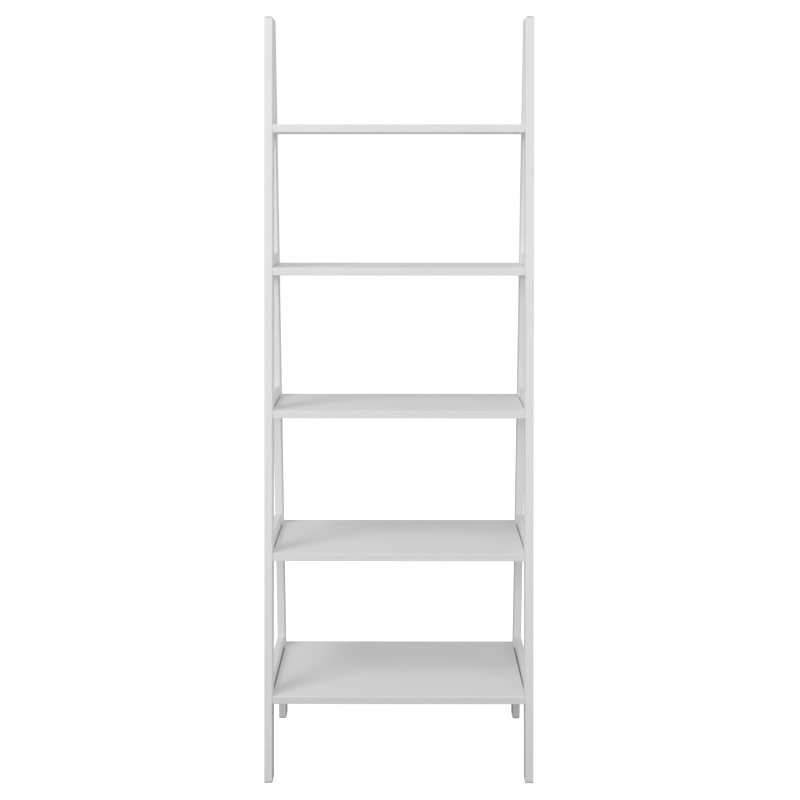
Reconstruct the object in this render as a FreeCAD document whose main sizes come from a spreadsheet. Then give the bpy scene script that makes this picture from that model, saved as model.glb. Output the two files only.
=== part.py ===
import FreeCAD, Part
import os
import Sketcher

# Free-standing ladder shelf: two side frames joined by five boards.
# Each side frame has a leaning front leg, an upright rear leg and five rungs.
# The shelf stands on z = 0 with its front towards -Y, and x = 0 is its middle plane.

SIZES = {
    "overall_height": 1829,
    "overall_width": 653,
    "overall_depth": 400,
    "leg_width": 20,
    "leg_depth": 42,
    "top_overlap": 10,
    "shelf_thickness": 19,
    "lowest_shelf": 187,
    "top_shelf_drop": 277,
    "rung_thickness": 16,
    "rung_height": 60,
    "rung_drop": 13,
    "edge_round": 1.5,
    "leg_round": 2.5,
    "top_round": 6,
    "foot_round": 6,
    "bolt_diameter": 6,
    "bolt_length": 50,
    "bolt_head_diameter": 12,
    "bolt_head_depth": 3,
    "bolt_socket_width": 4,
    "bolt_socket_depth": 2.2,
    "bolt_clearance": 0.25,
    "nut_diameter": 10,
    "nut_length": 12,
    "nut_clearance": 0.2,
    "thread_clearance": 0.1,
    "bore_end_gap": 1,
    "dowel_diameter": 8,
    "dowel_length": 24,
    "dowel_clearance": 0.1,
    "dowel_spacing": 24,
    "dowel_stagger": 10,
    "dowel_end_gap": 0.5,
}

LEVELS = ("bottom", "lower", "middle", "upper", "top")
SIDES = (("left", -1), ("right", 1))
GAPS_BETWEEN_SHELVES = len(LEVELS) - 1

# Heights closer than this to the floor or to the top are taken to be on it.
NEAR_FLOOR = 0.01

# Rotations that turn a cylinder's own axis, +Z, to the way that it is drilled or driven.
TOWARDS_RIGHT = (FreeCAD.Vector(0, 1, 0), "90 deg")
TOWARDS_LEFT = (FreeCAD.Vector(0, -1, 0), "90 deg")
TOWARDS_BACK = (FreeCAD.Vector(-1, 0, 0), "90 deg")
UPWARDS = (FreeCAD.Vector(0, 0, 1), "0 deg")

doc = FreeCAD.newDocument("LadderShelf")


def make_sheet():
    """Put every driving size in the sheet, one to a row, under its own name."""
    sizes = doc.addObject("Spreadsheet::Sheet", "Sizes")
    for row, (alias, number) in enumerate(SIZES.items(), start=1):
        sizes.set(f"A{row}", alias)
        sizes.set(f"B{row}", str(number))
        sizes.setAlias(f"B{row}", alias)
    doc.recompute()
    return sizes


sheet = make_sheet()

# Sizes worked out from the driving ones, as expressions.
HALF_WIDTH = "(Sizes.overall_width / 2)"
FRONT = "(-Sizes.overall_depth / 2)"
BACK = "(Sizes.overall_depth / 2)"
TOP_DEPTH = "(2 * Sizes.leg_depth - Sizes.top_overlap)"
LEAN = f"((Sizes.overall_depth - {TOP_DEPTH}) / Sizes.overall_height)"
LEAN_ANGLE = f"atan({LEAN})"
LEG_RUN = f"(Sizes.leg_depth / cos({LEAN_ANGLE}))"
REAR_LEG_FRONT = f"({BACK} - Sizes.leg_depth)"
JOINT_FOOT = f"(({REAR_LEG_FRONT} - {FRONT} - {LEG_RUN}) / {LEAN})"
PITCH = (f"((Sizes.overall_height - Sizes.top_shelf_drop - Sizes.lowest_shelf)"
         f" / {GAPS_BETWEEN_SHELVES})")


def number(expression):
    """The present value of an expression."""
    result = sheet.evalExpression(expression)
    return float(getattr(result, "Value", result))


def front_leg_front(z):
    """Y of the front leg's front face at height z."""
    return f"({FRONT} + ({z}) * {LEAN})"


def front_leg_back(z):
    """Y of the front leg's back face at height z."""
    return f"({front_leg_front(z)} + {LEG_RUN})"


def shelf_bottom(level):
    """Height of a shelf's underside."""
    return f"(Sizes.lowest_shelf + {level} * {PITCH})"


def shelf_middle(level):
    """Height of the middle of a shelf's thickness."""
    return f"({shelf_bottom(level)} + Sizes.shelf_thickness / 2)"


def rung_bottom(level):
    """Height of a rung's underside."""
    return f"({shelf_bottom(level)} - Sizes.rung_drop)"


def inner_start(sign, thickness):
    """Least X of a piece that is flush with the frame's outer side."""
    return f"({HALF_WIDTH} - {thickness})" if sign > 0 else f"(-{HALF_WIDTH})"


def origin_plane(body, role):
    """One of a body's own origin planes."""
    return next(item for item in body.Origin.OriginFeatures if item.Role == role)


def outline(body, name, corners, offset):
    """A closed outline on the body's side plane, its corners tied to expressions of Y and Z."""
    sketch = body.newObject("Sketcher::SketchObject", name)
    sketch.AttachmentSupport = [(origin_plane(body, "YZ_Plane"), "")]
    sketch.MapMode = "FlatFace"
    sketch.setExpression("AttachmentOffset.Base.z", offset)
    points = [FreeCAD.Vector(number(y), number(z), 0) for y, z in corners]
    count = len(points)
    for index in range(count):
        sketch.addGeometry(Part.LineSegment(points[index], points[(index + 1) % count]), False)
    for index in range(count):
        sketch.addConstraint(Sketcher.Constraint("Coincident", index, 2, (index + 1) % count, 1))
    for index, (y, z) in enumerate(corners):
        for kind, value, expression in (("DistanceX", points[index].x, y),
                                        ("DistanceY", points[index].y, z)):
            row = sketch.addConstraint(Sketcher.Constraint(kind, -1, 1, index, 1, value))
            sketch.setExpression(f"Constraints[{row}]", expression)
    return sketch


def board(name, corners, start, thickness, rounded, radius="Sizes.edge_round"):
    """A board cut to a side outline, with the edges that pass the test rounded over."""
    body = doc.addObject("PartDesign::Body", name)
    sketch = outline(body, f"{name}_outline", corners, start)
    pad = body.newObject("PartDesign::Pad", f"{name}_pad")
    pad.Profile = sketch
    pad.setExpression("Length", thickness)
    doc.recompute()
    edges = [f"Edge{place}" for place, edge in enumerate(pad.Shape.Edges, start=1)
             if rounded(edge)]
    fillet = body.newObject("PartDesign::Fillet", f"{name}_rounding")
    fillet.Base = (pad, edges)
    fillet.setExpression("Radius", radius)
    return body


def direction(edge):
    """The unit direction of a straight edge."""
    return (edge.Vertexes[-1].Point - edge.Vertexes[0].Point).normalize()


def runs_back(edge):
    """True for an edge that lies along Y."""
    return abs(direction(edge).y) > 0.999


def runs_up(edge):
    """True for an edge that climbs the whole or most of a leg."""
    return abs(direction(edge).z) > 0.9


def clear_of_joint(edge):
    """True for an edge that climbs a rear leg, and is not part of its slanting face."""
    lowest = min(point.Point.z for point in edge.Vertexes)
    return runs_up(edge) and lowest < NEAR_FLOOR


def round_the_top(edge):
    """True for an edge of the level face at the top."""
    lowest = min(point.Point.z for point in edge.Vertexes)
    return lowest > number("Sizes.overall_height") - NEAR_FLOOR


def round_the_foot(edge):
    """True for an edge of the level face on the floor."""
    highest = max(point.Point.z for point in edge.Vertexes)
    return highest < NEAR_FLOOR


def every_edge(edge):
    """True for any edge."""
    return True


def turn(item, where, aim, angle=None):
    """Place an item at a point given as expressions, with its axis turned to its aim."""
    axis, degrees = aim
    item.Placement = FreeCAD.Placement(FreeCAD.Vector(), FreeCAD.Rotation(axis, 90))
    item.setExpression("Placement.Rotation.Angle", angle or degrees)
    for letter, expression in zip("xyz", where):
        item.setExpression(f"Placement.Base.{letter}", expression)
    return item


def rod(name, diameter, length, where, aim, angle=None):
    """A plain cylinder that starts at a point and runs the way of its aim."""
    item = doc.addObject("Part::Cylinder", name)
    item.setExpression("Radius", f"({diameter}) / 2")
    item.setExpression("Height", length)
    return turn(item, where, aim, angle)


def countersink(name, wide, narrow, depth, where, aim):
    """A cone whose wide end is at its start."""
    item = doc.addObject("Part::Cone", name)
    item.setExpression("Radius1", f"({wide}) / 2")
    item.setExpression("Radius2", f"({narrow}) / 2")
    item.setExpression("Height", depth)
    return turn(item, where, aim)


def joined(name, items):
    """One solid from items that overlap."""
    item = doc.addObject("Part::MultiFuse", name)
    item.Shapes = items
    return item


def drilled(label, blank, tools):
    """A blank with its holes, which is a finished sub-part."""
    item = doc.addObject("Part::Cut", f"{label}_drilled")
    item.Base = blank
    item.Tool = joined(f"{label}_holes", tools)
    item.Label = label
    return item


def group(label, items):
    """Identical fasteners as separate solids of one sub-part."""
    item = doc.addObject("Part::Compound", f"{label}_group")
    item.Links = items
    item.Label = label
    return item


# Fasteners: where each one goes, and the holes that take it.

def bolt_rows(level):
    """Y of the front and the rear bolt at a level, each in the middle of its leg."""
    return (("front", f"({front_leg_front(shelf_middle(level))} + {LEG_RUN} / 2)"),
            ("rear", f"({BACK} - Sizes.leg_depth / 2)"))


def bolt_seat(level, sign, row_y):
    """Where a bolt's head meets the frame's outer side, and which way the bolt points."""
    aim = TOWARDS_LEFT if sign > 0 else TOWARDS_RIGHT
    return (f"{sign} * {HALF_WIDTH}", row_y, shelf_middle(level)), aim


BOLT_HOLE = "(Sizes.bolt_diameter + 2 * Sizes.bolt_clearance)"
HEAD_HOLE = "(Sizes.bolt_head_diameter + 2 * Sizes.bolt_clearance)"
NUT_HOLE = "(Sizes.nut_diameter + 2 * Sizes.nut_clearance)"
NUT_REACH = "(Sizes.bolt_length - Sizes.nut_diameter / 2 - Sizes.bore_end_gap)"
DOWEL_HOLE = "(Sizes.dowel_diameter + 2 * Sizes.dowel_clearance)"
DOWEL_HOLE_LENGTH = "(Sizes.dowel_length + 2 * Sizes.dowel_end_gap)"


def bolt_hole(name, level, sign, row_y):
    """A countersunk hole for a bolt, through the leg and on into the end of the shelf."""
    where, aim = bolt_seat(level, sign, row_y)
    length = "Sizes.bolt_length + Sizes.bore_end_gap"
    return [rod(f"{name}_bore", BOLT_HOLE, length, where, aim),
            countersink(f"{name}_sink", HEAD_HOLE, BOLT_HOLE, "Sizes.bolt_head_depth", where, aim)]


def nut_place(level, sign, row_y, below):
    """A point on a barrel nut's axis, some way below the middle of the shelf."""
    x = f"{sign} * ({HALF_WIDTH} - {NUT_REACH})"
    return x, row_y, f"{shelf_middle(level)} - {below}"


def nut_hole(name, level, sign, row_y):
    """A blind hole for a barrel nut, from the shelf's underside."""
    depth = ("Sizes.shelf_thickness / 2 + Sizes.nut_length / 2 + Sizes.nut_clearance")
    where = nut_place(level, sign, row_y, "Sizes.shelf_thickness / 2")
    return rod(f"{name}_bore", NUT_HOLE, depth, where, UPWARDS)


def bolt(name, level, sign, row_y):
    """A flat-headed bolt with a six-sided socket."""
    where, aim = bolt_seat(level, sign, row_y)
    shank = rod(f"{name}_shank", "Sizes.bolt_diameter", "Sizes.bolt_length", where, aim)
    head = countersink(f"{name}_head", "Sizes.bolt_head_diameter", "Sizes.bolt_diameter",
                       "Sizes.bolt_head_depth", where, aim)
    socket = doc.addObject("Part::Prism", f"{name}_socket")
    socket.Polygon = 6
    socket.setExpression("Circumradius", "Sizes.bolt_socket_width / 2 / cos(30)")
    socket.setExpression("Height", "Sizes.bolt_socket_depth")
    turn(socket, where, aim)
    item = doc.addObject("Part::Cut", name)
    item.Base = joined(f"{name}_blank", [shank, head])
    item.Tool = socket
    return item


def nut(name, level, sign, row_y):
    """A barrel nut with a hole across it for its bolt."""
    base = nut_place(level, sign, row_y, "Sizes.nut_length / 2")
    barrel = rod(f"{name}_barrel", "Sizes.nut_diameter", "Sizes.nut_length", base, UPWARDS)
    x, y, z = nut_place(level, sign, row_y, "0")
    across = (f"{x} - Sizes.nut_diameter", y, z)
    cross = rod(f"{name}_thread", "Sizes.bolt_diameter + 2 * Sizes.thread_clearance",
                "2 * Sizes.nut_diameter", across, TOWARDS_RIGHT)
    item = doc.addObject("Part::Cut", name)
    item.Base = barrel
    item.Tool = cross
    return item


def rung_dowels(level, sign):
    """Middle of each dowel at a rung's two ends, named; the two ends are staggered in height."""
    x = f"{sign} * ({HALF_WIDTH} - Sizes.rung_thickness / 2)"
    middle = f"({rung_bottom(level)} + Sizes.rung_height / 2)"
    places = []
    for end, shift in (("front", "+"), ("rear", "-")):
        for row, step in (("high", "+"), ("low", "-")):
            z = f"({middle} {shift} Sizes.dowel_stagger / 2 {step} Sizes.dowel_spacing / 2)"
            y = front_leg_back(z) if end == "front" else REAR_LEG_FRONT
            places.append((end, row, (x, y, z)))
    return places


def level_dowel(name, place, diameter, length):
    """A rod along Y with its middle at a place."""
    x, y, z = place
    return rod(name, diameter, length, (x, f"{y} - ({length}) / 2", z), TOWARDS_BACK)


def head_dowels(sign):
    """Middle of each dowel in the joint at the top of a side frame."""
    x = f"{sign} * ({HALF_WIDTH} - Sizes.leg_width / 2)"
    middle = f"((Sizes.overall_height + {JOINT_FOOT}) / 2)"
    return [(row, (x, f"{middle} {step} Sizes.dowel_spacing / 2"))
            for row, step in (("high", "+"), ("low", "-"))]


def head_dowel(name, place, diameter, length):
    """A rod square to the slanting joint face, with its middle on that face."""
    x, z = place
    y = f"{front_leg_back(z)} - ({length}) / 2 * cos({LEAN_ANGLE})"
    start = (x, y, f"{z} + ({length}) / 2 * sin({LEAN_ANGLE})")
    return rod(name, diameter, length, start, TOWARDS_BACK, f"90 deg + {LEAN_ANGLE}")


# Sub-parts.

def leg_holes(name, sign, row):
    """Every hole in one leg: bolts at each shelf, dowels at each rung, dowels at the top."""
    tools = []
    for level, level_name in enumerate(LEVELS):
        row_y = dict(bolt_rows(level))[row]
        tools += bolt_hole(f"{name}_{level_name}_bolt", level, sign, row_y)
        tools += [level_dowel(f"{name}_{level_name}_{height}", place, DOWEL_HOLE, DOWEL_HOLE_LENGTH)
                  for end, height, place in rung_dowels(level, sign) if end == row]
    tools += [head_dowel(f"{name}_head_{height}", place, DOWEL_HOLE, DOWEL_HOLE_LENGTH)
              for height, place in head_dowels(sign)]
    return tools


def side_crown(side, sign):
    """The outline that both legs of a side share, rounded over all round its top."""
    low, high = "0", "Sizes.overall_height"
    corners = [(front_leg_front(low), low), (BACK, low), (BACK, high),
               (front_leg_front(high), high)]
    return board(f"{side}_crown", corners, inner_start(sign, "Sizes.leg_width"),
                 "Sizes.leg_width", round_the_top, "Sizes.top_round")


def rear_foot(side, sign):
    """The outline of a side's rear leg, rounded over all round its foot."""
    low, high = "0", "Sizes.overall_height"
    corners = [(REAR_LEG_FRONT, low), (BACK, low), (BACK, high), (REAR_LEG_FRONT, high)]
    return board(f"{side}_rear_foot", corners, inner_start(sign, "Sizes.leg_width"),
                 "Sizes.leg_width", round_the_foot, "Sizes.foot_round")


def within(name, blank, outlines):
    """The part of a leg's blank that is inside each of these rounded outlines."""
    item = doc.addObject("Part::MultiCommon", name)
    item.Shapes = [blank, *outlines]
    return item


def front_leg(side, sign, crown):
    """The leaning leg, cut level at the floor and rounded over at the top."""
    label = f"{side}_front_leg"
    low, high = "0", "Sizes.overall_height"
    corners = [(front_leg_front(low), low), (front_leg_back(low), low),
               (front_leg_back(high), high), (front_leg_front(high), high)]
    blank = board(f"{label}_blank", corners, inner_start(sign, "Sizes.leg_width"),
                  "Sizes.leg_width", runs_up, "Sizes.leg_round")
    shaped = within(f"{label}_shaped", blank, [crown])
    return drilled(label, shaped, leg_holes(label, sign, "front"))


def rear_leg(side, sign, crown):
    """The upright leg, rounded over at both ends, its top planed to lie on the front leg."""
    label = f"{side}_rear_leg"
    low, high = "0", "Sizes.overall_height"
    corners = [(REAR_LEG_FRONT, low), (BACK, low), (BACK, high), (front_leg_back(high), high),
               (REAR_LEG_FRONT, JOINT_FOOT)]
    blank = board(f"{label}_blank", corners, inner_start(sign, "Sizes.leg_width"),
                  "Sizes.leg_width", clear_of_joint, "Sizes.leg_round")
    shaped = within(f"{label}_shaped", blank, [crown, rear_foot(side, sign)])
    return drilled(label, shaped, leg_holes(label, sign, "rear"))


def rung(side, sign, level, level_name):
    """A rung between the legs, flush with their outer sides."""
    label = f"{side}_{level_name}_rung"
    low = rung_bottom(level)
    high = f"({low} + Sizes.rung_height)"
    corners = [(front_leg_back(low), low), (REAR_LEG_FRONT, low), (REAR_LEG_FRONT, high),
               (front_leg_back(high), high)]
    blank = board(f"{label}_blank", corners, inner_start(sign, "Sizes.rung_thickness"),
                  "Sizes.rung_thickness", runs_back)
    tools = [level_dowel(f"{label}_{end}_{row}_hole", place, DOWEL_HOLE, DOWEL_HOLE_LENGTH)
             for end, row, place in rung_dowels(level, sign)]
    return drilled(label, blank, tools)


def shelf(level, level_name):
    """A board between the side frames, its front edge in line with the front legs."""
    label = f"{level_name}_shelf"
    low = shelf_bottom(level)
    high = f"({low} + Sizes.shelf_thickness)"
    front = front_leg_front(high)
    corners = [(front, low), (BACK, low), (BACK, high), (front, high)]
    blank = board(f"{label}_blank", corners, f"Sizes.leg_width - {HALF_WIDTH}",
                  "Sizes.overall_width - 2 * Sizes.leg_width", every_edge)
    tools = []
    for side, sign in SIDES:
        for row, row_y in bolt_rows(level):
            tools.append(bolt_hole(f"{label}_{side}_{row}_bolt", level, sign, row_y)[0])
            tools.append(nut_hole(f"{label}_{side}_{row}_nut", level, sign, row_y))
    return drilled(label, blank, tools)


def shelf_fasteners(level, level_name):
    """The four bolts and the four barrel nuts of one shelf."""
    spots = [(f"{level_name}_{side}_{row}", sign, row_y)
             for side, sign in SIDES for row, row_y in bolt_rows(level)]
    bolts = [bolt(f"{spot}_bolt_solid", level, sign, row_y) for spot, sign, row_y in spots]
    nuts = [nut(f"{spot}_nut_solid", level, sign, row_y) for spot, sign, row_y in spots]
    return [group(f"{level_name}_shelf_bolts", bolts),
            group(f"{level_name}_shelf_barrel_nuts", nuts)]


def side_dowels(side, sign):
    """The dowels of one side frame: four to a rung, and two at the top."""
    rung_rods = []
    for level, level_name in enumerate(LEVELS):
        rung_rods += [level_dowel(f"{side}_{level_name}_{end}_{row}_dowel", place,
                                  "Sizes.dowel_diameter", "Sizes.dowel_length")
                      for end, row, place in rung_dowels(level, sign)]
    head_rods = [head_dowel(f"{side}_head_{row}_dowel", place, "Sizes.dowel_diameter",
                            "Sizes.dowel_length") for row, place in head_dowels(sign)]
    return [group(f"{side}_rung_dowels", rung_rods), group(f"{side}_top_dowels", head_rods)]


def make_parts():
    """Every sub-part of the ladder shelf."""
    parts = []
    for side, sign in SIDES:
        crown = side_crown(side, sign)
        parts.append(front_leg(side, sign, crown))
        parts.append(rear_leg(side, sign, crown))
        parts += [rung(side, sign, level, name) for level, name in enumerate(LEVELS)]
        parts += side_dowels(side, sign)
    for level, name in enumerate(LEVELS):
        parts.append(shelf(level, name))
        parts += shelf_fasteners(level, name)
    return parts


def check(parts):
    """Stop before anything is written if an object failed or a shape is not sound."""
    for item in doc.Objects:
        if {"Invalid", "Error"} & set(item.State):
            raise RuntimeError(f"{item.Name} failed: {item.State}")
    for part in parts:
        if part.Shape.isNull() or not part.Shape.isValid() or not part.Shape.Solids:
            raise RuntimeError(f"{part.Label} has no sound shape")


parts = make_parts()
doc.recompute()
check(parts)
os.makedirs("parts", exist_ok=True)
for part in parts:
    part.Shape.exportStep(f"parts/{part.Label}.step")
    box = part.Shape.BoundBox
    print(f"{part.Label}: {len(part.Shape.Solids)} solids, {part.Shape.Volume / 1000:.1f} cm3,"
          f" {box.XLength:.1f} x {box.YLength:.1f} x {box.ZLength:.1f} mm")
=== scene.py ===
import math

import bpy
import numpy as np
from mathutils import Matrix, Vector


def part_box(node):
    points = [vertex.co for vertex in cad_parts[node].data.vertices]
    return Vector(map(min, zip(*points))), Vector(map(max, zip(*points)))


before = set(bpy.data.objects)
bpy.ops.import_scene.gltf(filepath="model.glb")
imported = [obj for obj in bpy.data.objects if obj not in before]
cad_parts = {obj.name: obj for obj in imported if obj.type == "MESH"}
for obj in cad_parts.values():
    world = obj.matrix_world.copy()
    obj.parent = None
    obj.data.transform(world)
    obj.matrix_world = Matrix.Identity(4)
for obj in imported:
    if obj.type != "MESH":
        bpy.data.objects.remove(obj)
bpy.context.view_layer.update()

# A free-standing ladder shelf in satin white paint: leaning front legs, upright rear legs,
# five rungs to a side and five boards. Lengths are in metres.

MM = 0.001
LEVELS = ("bottom", "lower", "middle", "upper", "top")
SIDES = ("left", "right")
PURE_WHITE = (1.0, 1.0, 1.0, 1.0)


# Shader arithmetic.

class Strand:
    """A socket in a finish, with the arithmetic that adds Math nodes to it."""

    def __init__(self, finish, socket):
        self.finish = finish
        self.socket = socket

    def sum_up(self, operation, *numbers):
        """One Math node on these numbers or strands."""
        return self.finish.node("ShaderNodeMath", {"operation": operation},
                                dict(enumerate(numbers)))

    def __add__(self, other):
        return self.sum_up("ADD", self, other)

    __radd__ = __add__

    def __sub__(self, other):
        return self.sum_up("SUBTRACT", self, other)

    def __rsub__(self, other):
        return self.sum_up("SUBTRACT", other, self)

    def __mul__(self, other):
        return self.sum_up("MULTIPLY", self, other)

    __rmul__ = __mul__

    def __abs__(self):
        return self.sum_up("ABSOLUTE", self)

    def least(self, other):
        """The smaller of the two."""
        return self.sum_up("MINIMUM", self, other)

    def most(self, other):
        """The larger of the two."""
        return self.sum_up("MAXIMUM", self, other)

    def root(self):
        """The square root."""
        return self.sum_up("SQRT", self)

    def wave(self):
        """The sine, carried from -1..1 on to 0..1."""
        return self.sum_up("SINE", self) * 0.5 + 0.5

    def spread(self, low, high, to_low=0.0, to_high=1.0):
        """The range low..high carried smoothly on to to_low..to_high, and held past its ends."""
        return self.finish.node("ShaderNodeMapRange", {"interpolation_type": "SMOOTHSTEP"},
                                {"Value": self, "From Min": low, "From Max": high,
                                 "To Min": to_low, "To Max": to_high})


class Finish:
    """A material built from nodes around one Principled shader."""

    def __init__(self, name):
        self.material = bpy.data.materials.new(name)
        self.material.use_nodes = True
        self.tree = self.material.node_tree
        self.tree.nodes.clear()
        self.shader = self.tree.nodes.new("ShaderNodeBsdfPrincipled")
        self.output = self.tree.nodes.new("ShaderNodeOutputMaterial")
        self.tree.links.new(self.shader.outputs["BSDF"], self.output.inputs["Surface"])

    def feed(self, socket, value):
        """Links a strand to a socket, or sets the socket to a plain value."""
        if isinstance(value, Strand):
            self.tree.links.new(value.socket, socket)
        else:
            socket.default_value = value

    def node(self, kind, settings=None, values=None, out=0):
        """A node of this type: its settings, then its sockets' values or links. Gives one output."""
        made = self.tree.nodes.new(kind)
        for key, value in (settings or {}).items():
            setattr(made, key, value)
        for key, value in (values or {}).items():
            self.feed(made.inputs[key], value)
        return Strand(self, made.outputs[out])

    def place(self):
        """Object coordinates as three strands."""
        where = self.node("ShaderNodeTexCoord", out="Object")
        return [self.node("ShaderNodeSeparateXYZ", values={0: where}, out=axis)
                for axis in range(3)]

    def point(self, x, y, z):
        """Three strands as one vector."""
        return self.node("ShaderNodeCombineXYZ", values={0: x, 1: y, 2: z})

    def noise(self, where, scale, detail=2.0, rough=0.5):
        """Noise from 0 to 1 at a vector, with this many lumps to a metre."""
        return self.node("ShaderNodeTexNoise", {"noise_dimensions": "3D"},
                         {"Vector": where, "Scale": scale, "Detail": detail,
                          "Roughness": rough})

    def blend(self, share, first, second):
        """A colour between two, by share."""
        return self.node("ShaderNodeMix", {"data_type": "RGBA"},
                         {"Factor": share, 6: first, 7: second}, out=2)

    def relief(self, height, deep):
        """A surface normal from a height of 0 to 1 that stands for this depth in metres."""
        return self.node("ShaderNodeBump", None,
                         {"Strength": 1.0, "Distance": deep, "Height": height})

    def dress(self, **sockets):
        """Feeds the Principled shader, with underscores for the spaces in its socket names."""
        for key, value in sockets.items():
            self.feed(self.shader.inputs[key.replace("_", " ")], value)
        return self.material


def middle(a, b, c):
    """The middle one of three strands."""
    return a.least(b).most(a.most(b).least(c))


def give(node, material):
    """Puts one material on a carried-over part."""
    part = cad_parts[node]
    part.data.materials.clear()
    part.data.materials.append(material)


# Paint on wood. Each board carries its own grain, and its edges are found from its own size.

WHITE = (0.880, 0.880, 0.876, 1.0)
SHADE = (0.834, 0.835, 0.834, 1.0)
RUBBED = (0.822, 0.818, 0.806, 1.0)
# The dark grey of the painted shade at the legs' ends.
END_PAINTED_SHADE = (0.470, 0.470, 0.468, 1.0)
PAINT_IOR = 1.47
PAINT_RELIEF = 0.22 * MM

# How strongly the wood's figure shows through the paint.
SOLID_WOOD = 1.0
BOARD = 0.3

# The wood's figure, its pores and the brush's strokes are drawn out along the board, because
# their noise counts only a share of the length. Each has that share, then its lumps to a metre,
# its detail and its roughness.
FIGURE = (0.035, 170.0, 4.0, 0.6)
PORES = (0.03, 1100.0, 2.0, 0.6)
BRUSH = (0.06, 1900.0, 1.0, 0.5)

# The paint's other patterns are the same all ways: lumps to a metre, detail and roughness.
SKIN = (700.0, 1.0, 0.5)
CLOUD = (7.0, 3.0, 0.5)
PATCH = (46.0, 2.0, 0.5)
NIBBLE = (120.0, 3.0, 0.65)

# The stretch of each noise that is carried on to 0..1, or to 1..0 for the pores, which are sunk.
CLOUD_RANGE = (0.36, 0.64)
FIGURE_RANGE = (0.44, 0.62)
NIBBLE_RANGE = (0.42, 0.66)
PORE_RANGE = (0.55, 0.72)

# How much of the shaded white each pattern brings in. The figure's share is for solid wood.
CLOUD_TINT, PATCH_TINT, FIGURE_TINT = 0.45, 0.2, 0.5

# How much each pattern counts in the paint's relief.
FIGURE_LIFT, PORE_LIFT, BRUSH_LIFT, SKIN_LIFT, PATCH_LIFT = 0.9, 0.22, 0.16, 0.22, 0.5

# The paint's roughness, and how much each pattern adds to it or wear takes off it.
SATIN = 0.35
PATCH_DULLS, FIGURE_DULLS, BRUSH_DULLS, WEAR_SHINES = 0.10, 0.08, 0.06, 0.06

# An edge is worn in full this near to it, and not at all beyond its width. Nibbles leave at
# least this much of the wear, and the rubbed colour shows through it by this much.
EDGE_FULL = 0.2 * MM
EDGE_WIDTH = 2.2 * MM
LEAST_WEAR = 0.25
WEAR_SHOWS = 0.55

# Painted shade at the legs' ends is full this near to an end, and none beyond this depth.
END_SHADE_FULL = 0.5 * MM
END_SHADE_DEPTH = 7 * MM


def painted(name, frame_of, grain, shaded_ends=False):
    """Satin white paint on wood. frame_of gives, from x, y and z, how far a point is along,
    across and through the board from its middle, and the board's three half sizes. grain is
    how strongly the wood's figure shows. The last argument paints shade on both ends of the
    board, darker towards each end."""
    finish = Finish(name)
    x, y, z = finish.place()
    (along, across, through), half = frame_of(x, y, z)
    body = finish.point(along, across, through)

    def drawn_out(share, *noise):
        """A noise drawn out along the board."""
        return finish.noise(finish.point(along * share, across, through), *noise)

    figure, pores, brush = drawn_out(*FIGURE), drawn_out(*PORES), drawn_out(*BRUSH)
    skin, cloud, patch = (finish.noise(body, *noise) for noise in (SKIN, CLOUD, PATCH))
    # The nearest edge is where a second face comes near, so it is the middle of the three gaps.
    gaps = [size - abs(part) for size, part in zip(half, (along, across, through))]
    edge = middle(*gaps).spread(EDGE_FULL, EDGE_WIDTH, 1.0, 0.0)
    nibble = finish.noise(body, *NIBBLE).spread(*NIBBLE_RANGE)
    worn = edge * (LEAST_WEAR + (1.0 - LEAST_WEAR) * nibble)
    tint = (cloud.spread(*CLOUD_RANGE) * CLOUD_TINT + patch * PATCH_TINT
            + figure.spread(*FIGURE_RANGE) * (FIGURE_TINT * grain))
    colour = finish.blend(worn * WEAR_SHOWS, finish.blend(tint, WHITE, SHADE), RUBBED)
    if shaded_ends:
        # Painted shade, darker towards both ends of the board.
        end_shade = gaps[0].spread(END_SHADE_FULL, END_SHADE_DEPTH, 1.0, 0.0)
        colour = finish.blend(end_shade, colour, END_PAINTED_SHADE)
    sunk_pores = pores.spread(*PORE_RANGE, 1.0, 0.0)
    height = (figure * (FIGURE_LIFT * grain) + sunk_pores * (PORE_LIFT * grain)
              + brush * BRUSH_LIFT + skin * SKIN_LIFT + patch * PATCH_LIFT)
    gloss = (SATIN + PATCH_DULLS * patch + FIGURE_DULLS * figure + BRUSH_DULLS * brush
             - WEAR_SHINES * worn)
    return finish.dress(Base_Color=colour, Roughness=gloss,
                        Normal=finish.relief(height, PAINT_RELIEF), IOR=PAINT_IOR)


# The long, wide and thin axes of a board that runs along X, Y or Z.
LONG_X = (0, 1, 2)
LONG_Y = (1, 2, 0)
LONG_Z = (2, 1, 0)


def upright_box(low, high, order):
    """The frame of a board whose box this is. order names its long, wide and thin axes."""
    centre = [(a + b) / 2 for a, b in zip(low, high)]
    size = [(b - a) / 2 for a, b in zip(low, high)]

    def frame_of(*place):
        parts = [place[axis] - centre[axis] for axis in order]
        return parts, [size[axis] for axis in order]
    return frame_of


def lean_of_front():
    """How far back the front legs lean for each metre up, from the shelves' front edges."""
    low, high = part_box("bottom_shelf"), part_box("top_shelf")
    return (high[0].y - low[0].y) / (high[1].z - low[1].z)


LEAN = lean_of_front()

# Where the front faces of the front legs meet the floor.
FRONT_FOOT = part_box("bottom_shelf")[0].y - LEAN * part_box("bottom_shelf")[1].z


def leaning_box(low, high):
    """The frame of a front leg, which leans back and is cut level at both ends. It stands on
    the floor, so its middle is half its height up."""
    run = high.y - FRONT_FOOT - LEAN * high.z
    upright = 1.0 / math.hypot(1.0, LEAN)
    centre_x = (low.x + high.x) / 2
    half = [(high.z - low.z) / 2, run * upright / 2, (high.x - low.x) / 2]

    def frame_of(x, y, z):
        across = (y - z * LEAN - (FRONT_FOOT + run / 2)) * upright
        return [z - half[0], across, x - centre_x], half
    return frame_of


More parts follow.
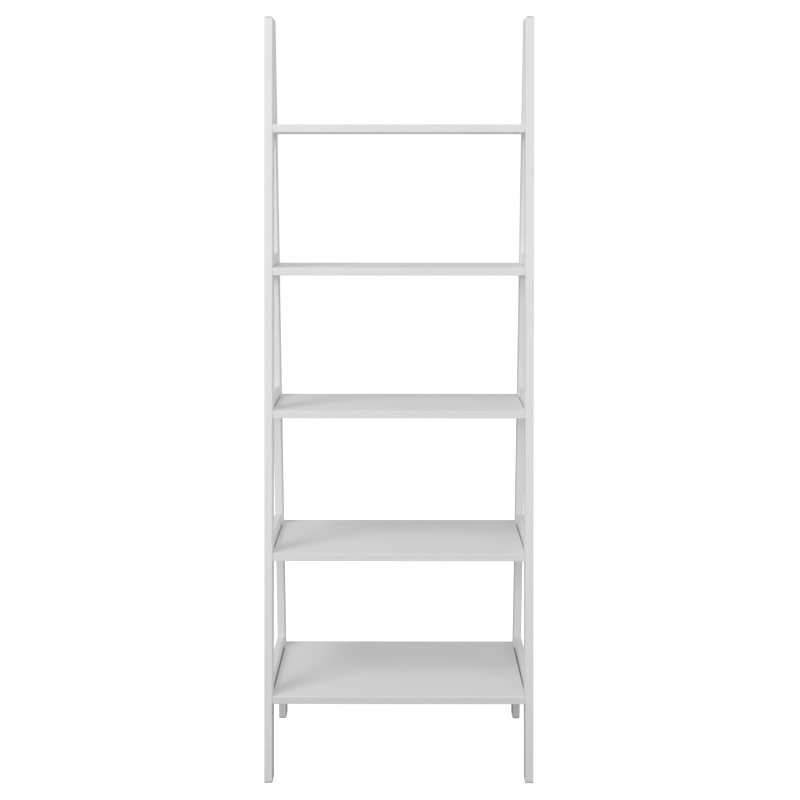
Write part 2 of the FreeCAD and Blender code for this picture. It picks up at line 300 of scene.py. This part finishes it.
for level in LEVELS:
    shelf = f"{level}_shelf"
    give(shelf, painted(f"{shelf}_paint", upright_box(*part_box(shelf), LONG_X), BOARD))
for side in SIDES:
    for level in LEVELS:
        rung = f"{side}_{level}_rung"
        give(rung, painted(f"{rung}_paint", upright_box(*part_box(rung), LONG_Y), SOLID_WOOD))
    rear, front = f"{side}_rear_leg", f"{side}_front_leg"
    # The legs get painted shade at their ends.
    give(rear, painted(f"{rear}_paint", upright_box(*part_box(rear), LONG_Z),
                       SOLID_WOOD, shaded_ends=True))
    give(front, painted(f"{front}_paint", leaning_box(*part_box(front)),
                        SOLID_WOOD, shaded_ends=True))


# Bare beech for the dowels.

BEECH_LIGHT = (0.60, 0.42, 0.25, 1)
BEECH_DARK = (0.47, 0.30, 0.16, 1)
BEECH_FLECK = (0.30, 0.17, 0.08, 1)
BEECH_RELIEF = 0.05 * MM

# As in the paint: the share of the length, lumps to a metre, detail and roughness.
FIBRE = (0.05, 900.0, 3.0, 0.6)
FLECK = (0.14, 2600.0, 1.0, 0.5)
FLECK_RANGE = (0.62, 0.72)

# The growth rings turn this many radians to a metre across and up, bent by the fibres.
RING_TURNS_X, RING_TURNS_Z, RING_BEND = 1900.0, 700.0, 2.5

# How much each pattern darkens the wood, dulls it, and counts in its relief.
RING_TINT, FIBRE_TINT, FLECK_TINT = 0.6, 0.3, 0.7
SANDED, FIBRE_DULLS = 0.55, 0.2
FLECK_LIFT = -0.4


def beech():
    """Sanded beech: growth rings, long fibres and short dark flecks along Y. A ring is the sine
    of how far a point is across the rings."""
    finish = Finish("bare_beech")
    x, y, z = finish.place()

    def along_grain(share, *noise):
        """A noise drawn out along Y."""
        return finish.noise(finish.point(x, y * share, z), *noise)

    fibre = along_grain(*FIBRE)
    rings = (x * RING_TURNS_X + z * RING_TURNS_Z + fibre * RING_BEND).wave()
    fleck = along_grain(*FLECK).spread(*FLECK_RANGE)
    wood = finish.blend(rings * RING_TINT + fibre * FIBRE_TINT, BEECH_LIGHT, BEECH_DARK)
    colour = finish.blend(fleck * FLECK_TINT, wood, BEECH_FLECK)
    return finish.dress(Base_Color=colour, Roughness=SANDED + FIBRE_DULLS * fibre,
                        Normal=finish.relief(fibre + fleck * FLECK_LIFT, BEECH_RELIEF))


BEECH = beech()
for side in SIDES:
    for kind in ("rung", "top"):
        give(f"{side}_{kind}_dowels", BEECH)


# Zinc-plated steel, with the fine rings that turning leaves round each fastener's own axis.

ZINC_DULL = (0.60, 0.61, 0.63, 1)
ZINC_BRIGHT = (0.72, 0.72, 0.71, 1)
ZINC_RELIEF = 0.012 * MM
HEAD_RADIUS = 6 * MM
NUT_RADIUS = 5 * MM

# Lumps to a metre, detail and roughness.
GRIT = (2400.0, 2.0, 0.5)
HAZE = (260.0, 3.0, 0.6)

# The tool marks turn this many radians to a metre out from the axis, bent by the grit.
TOOL_TURNS, TOOL_BEND = 21000.0, 2.0

# How much the haze and the tool marks dull the metal, and how the marks and the grit count in
# its relief.
ZINC_ROUGHNESS, HAZE_DULLS, MARK_DULLS = 0.24, 0.12, 0.06
MARK_LIFT, GRIT_LIFT = 0.7, 0.3


def plated(name, radius):
    """Bright zinc on turned steel. radius gives, from x, y and z, the distance from the axis,
    and a tool mark is the sine of that distance."""
    finish = Finish(name)
    x, y, z = finish.place()
    away = radius(x, y, z)
    where = finish.point(x, y, z)
    grit = finish.noise(where, *GRIT)
    rings = (away * TOOL_TURNS + grit * TOOL_BEND).wave()
    haze = finish.noise(where, *HAZE)
    colour = finish.blend(haze, ZINC_DULL, ZINC_BRIGHT)
    return finish.dress(Base_Color=colour, Metallic=1.0,
                        Roughness=ZINC_ROUGHNESS + HAZE_DULLS * haze + MARK_DULLS * rings,
                        Normal=finish.relief(rings * MARK_LIFT + grit * GRIT_LIFT, ZINC_RELIEF))


def from_bolts(low, high):
    """Distance from the nearer of the two lines of bolts in this box, which run along X."""
    rows = (low.y + HEAD_RADIUS, high.y - HEAD_RADIUS)
    mid_z = (low.z + high.z) / 2

    def radius(x, y, z):
        near = abs(y - rows[0]).least(abs(y - rows[1]))
        return (near * near + (z - mid_z) * (z - mid_z)).root()
    return radius


def from_nuts(low, high):
    """Distance from the upright axis of the nearest of the four barrel nuts in this box."""
    rows = (low.y + NUT_RADIUS, high.y - NUT_RADIUS)
    out = high.x - NUT_RADIUS

    def radius(x, y, z):
        near = abs(y - rows[0]).least(abs(y - rows[1]))
        aside = abs(x) - out
        return (near * near + aside * aside).root()
    return radius


for level in LEVELS:
    bolts, nuts = f"{level}_shelf_bolts", f"{level}_shelf_barrel_nuts"
    give(bolts, plated(f"{level}_bolt_zinc", from_bolts(*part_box(bolts))))
    give(nuts, plated(f"{level}_nut_zinc", from_nuts(*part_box(nuts))))


# The floor. The camera sees plain white paper all over. Light that bounces meets a dark mat
# under the object instead, so that little of it reaches the feet, and a pale floor beyond. The
# mat fades out from its radius, and its edge wanders by up to 0.1 m.

FLOOR_HALF = 14.0
FLOOR_POINTS = 9
MAT_RADIUS = 0.45
PALE_FROM = 2.2
MAT_TONE = (0.07, 0.07, 0.07, 1.0)
PALE_TONE = (0.75, 0.75, 0.75, 1.0)
PAPER_TONE = (0.8, 0.8, 0.8, 1)
FLOOR_GLOW = 0.85
FLOOR_RELIEF = 0.02 * MM
FLOOR_ROUGHNESS = 0.75
FLOOR_SHINE = 0.1
MOTTLE = (3.0, 3.0, 0.5)
MOTTLE_DULLS = 0.1
MAT_WANDER = 0.1
FLOOR_GRIT = (500.0, 2.0, 0.5)


def sheet_of_points(half, count):
    """A level square of count by count points: x and y run evenly from -half to half, z is 0."""
    steps = np.linspace(-half, half, count)
    x, y = np.meshgrid(steps, steps)
    return np.stack([x.ravel(), y.ravel(), np.zeros(x.size)], axis=1)


def grid_faces(count):
    """The four corners of each square in a grid, turned to face up."""
    corner = (np.arange(count - 1)[:, None] * count + np.arange(count - 1)[None, :]).ravel()
    return np.stack([corner, corner + 1, corner + count + 1, corner + count], axis=1)


def make_floor():
    """A plain pale studio floor."""
    points, faces = sheet_of_points(FLOOR_HALF, FLOOR_POINTS), grid_faces(FLOOR_POINTS)
    mesh = bpy.data.meshes.new("studio_floor")
    mesh.from_pydata(points.tolist(), [], faces.tolist())
    floor = bpy.data.objects.new("studio_floor", mesh)
    bpy.context.scene.collection.objects.link(floor)
    finish = Finish("pale_floor")
    x, y, z = finish.place()
    where = finish.point(x, y, z)
    mottle = finish.noise(where, *MOTTLE)
    away = (x * x + y * y).root() + mottle * MAT_WANDER
    tone = finish.blend(away.spread(MAT_RADIUS, PALE_FROM), MAT_TONE, PALE_TONE)
    grit = finish.relief(finish.noise(where, *FLOOR_GRIT), FLOOR_RELIEF)
    finish.dress(Base_Color=tone, Roughness=FLOOR_ROUGHNESS + MOTTLE_DULLS * mottle,
                 Specular_IOR_Level=FLOOR_SHINE, Normal=grit)
    paper = finish.node("ShaderNodeBsdfDiffuse", None, {"Color": PAPER_TONE, "Normal": grit})
    glow = finish.node("ShaderNodeEmission", None, {"Color": PURE_WHITE, "Strength": FLOOR_GLOW})
    white = finish.node("ShaderNodeAddShader", None, {0: paper, 1: glow})
    seen = finish.node("ShaderNodeLightPath", out="Is Camera Ray")
    both = finish.node("ShaderNodeMixShader", None,
                       {0: seen, 1: Strand(finish, finish.shader.outputs["BSDF"]), 2: white})
    finish.tree.links.new(both.socket, finish.output.inputs["Surface"])
    mesh.materials.append(finish.material)


# The light.

SKY_LIGHT = 0.348
BACKDROP_LIGHT = 1.0


def make_sky():
    """Even white light from all round, with a white backdrop behind the object."""
    world = bpy.data.worlds.new("studio_sky")
    bpy.context.scene.world = world
    world.use_nodes = True
    nodes, links = world.node_tree.nodes, world.node_tree.links
    nodes.clear()
    output = nodes.new("ShaderNodeOutputWorld")
    ambient, backdrop = nodes.new("ShaderNodeBackground"), nodes.new("ShaderNodeBackground")
    for shade, strength in ((ambient, SKY_LIGHT), (backdrop, BACKDROP_LIGHT)):
        shade.inputs["Strength"].default_value = strength
        shade.inputs["Color"].default_value = PURE_WHITE
    rays, mix = nodes.new("ShaderNodeLightPath"), nodes.new("ShaderNodeMixShader")
    links.new(rays.outputs["Is Camera Ray"], mix.inputs[0])
    links.new(ambient.outputs[0], mix.inputs[1])
    links.new(backdrop.outputs[0], mix.inputs[2])
    links.new(mix.outputs[0], output.inputs["Surface"])


# Each softbox: its place, the length of its sides, and its power in watts.
SOFTBOXES = {
    "front_left_softbox": ((-2.6, -4.2, 2.4), 1.8, 56.0),
    "front_right_softbox": ((2.6, -4.2, 2.4), 1.8, 27.0),
    "high_left_softbox": ((-2.4, -1.4, 4.4), 1.4, 46.0),
    "high_right_softbox": ((2.8, -1.6, 4.6), 1.8, 5.0),
    "right_side_softbox": ((4.4, -0.3, 1.8), 2.0, 20.0),
}
SOFTBOX_TARGET = (0, 0, 0.9)


def make_softboxes():
    """Square lamps that the camera doesn't see, all turned to face the middle of the object."""
    for name, (place, side_length, power) in SOFTBOXES.items():
        lamp = bpy.data.lights.new(name, "AREA")
        lamp.shape = "RECTANGLE"
        lamp.size, lamp.size_y, lamp.energy = side_length, side_length, power
        box = bpy.data.objects.new(name, lamp)
        box.location = place
        away = [a - b for a, b in zip(place, SOFTBOX_TARGET)]
        flat = math.hypot(away[0], away[1])
        box.rotation_euler = (math.atan2(flat, away[2]), 0, math.atan2(away[0], -away[1]))
        box.visible_camera = False
        bpy.context.scene.collection.objects.link(box)


# The camera, and the gamma that lifts the shadows.

CAMERA_PLACE = (0.0120, -2.9390, 1.4404)
CAMERA_DIP = math.radians(10.273)
CAMERA_TURN = math.radians(0.187)
CAMERA_LENS = 54.82
SENSOR_WIDTH = 36.0
SHADOW_LIFT = 1.4


def make_camera():
    """A camera in front, at a height between the upper and top shelves, tipped down slightly."""
    lens = bpy.data.cameras.new("camera")
    lens.lens = CAMERA_LENS
    lens.sensor_width = SENSOR_WIDTH
    camera = bpy.data.objects.new("camera", lens)
    camera.location = CAMERA_PLACE
    camera.rotation_euler = (math.pi / 2 - CAMERA_DIP, 0, CAMERA_TURN)
    bpy.context.scene.collection.objects.link(camera)
    bpy.context.scene.camera = camera


make_floor()
make_sky()
make_softboxes()
make_camera()
bpy.context.scene.view_settings.view_transform = "Standard"
bpy.context.scene.view_settings.look = "None"
bpy.context.scene.view_settings.gamma = SHADOW_LIFT
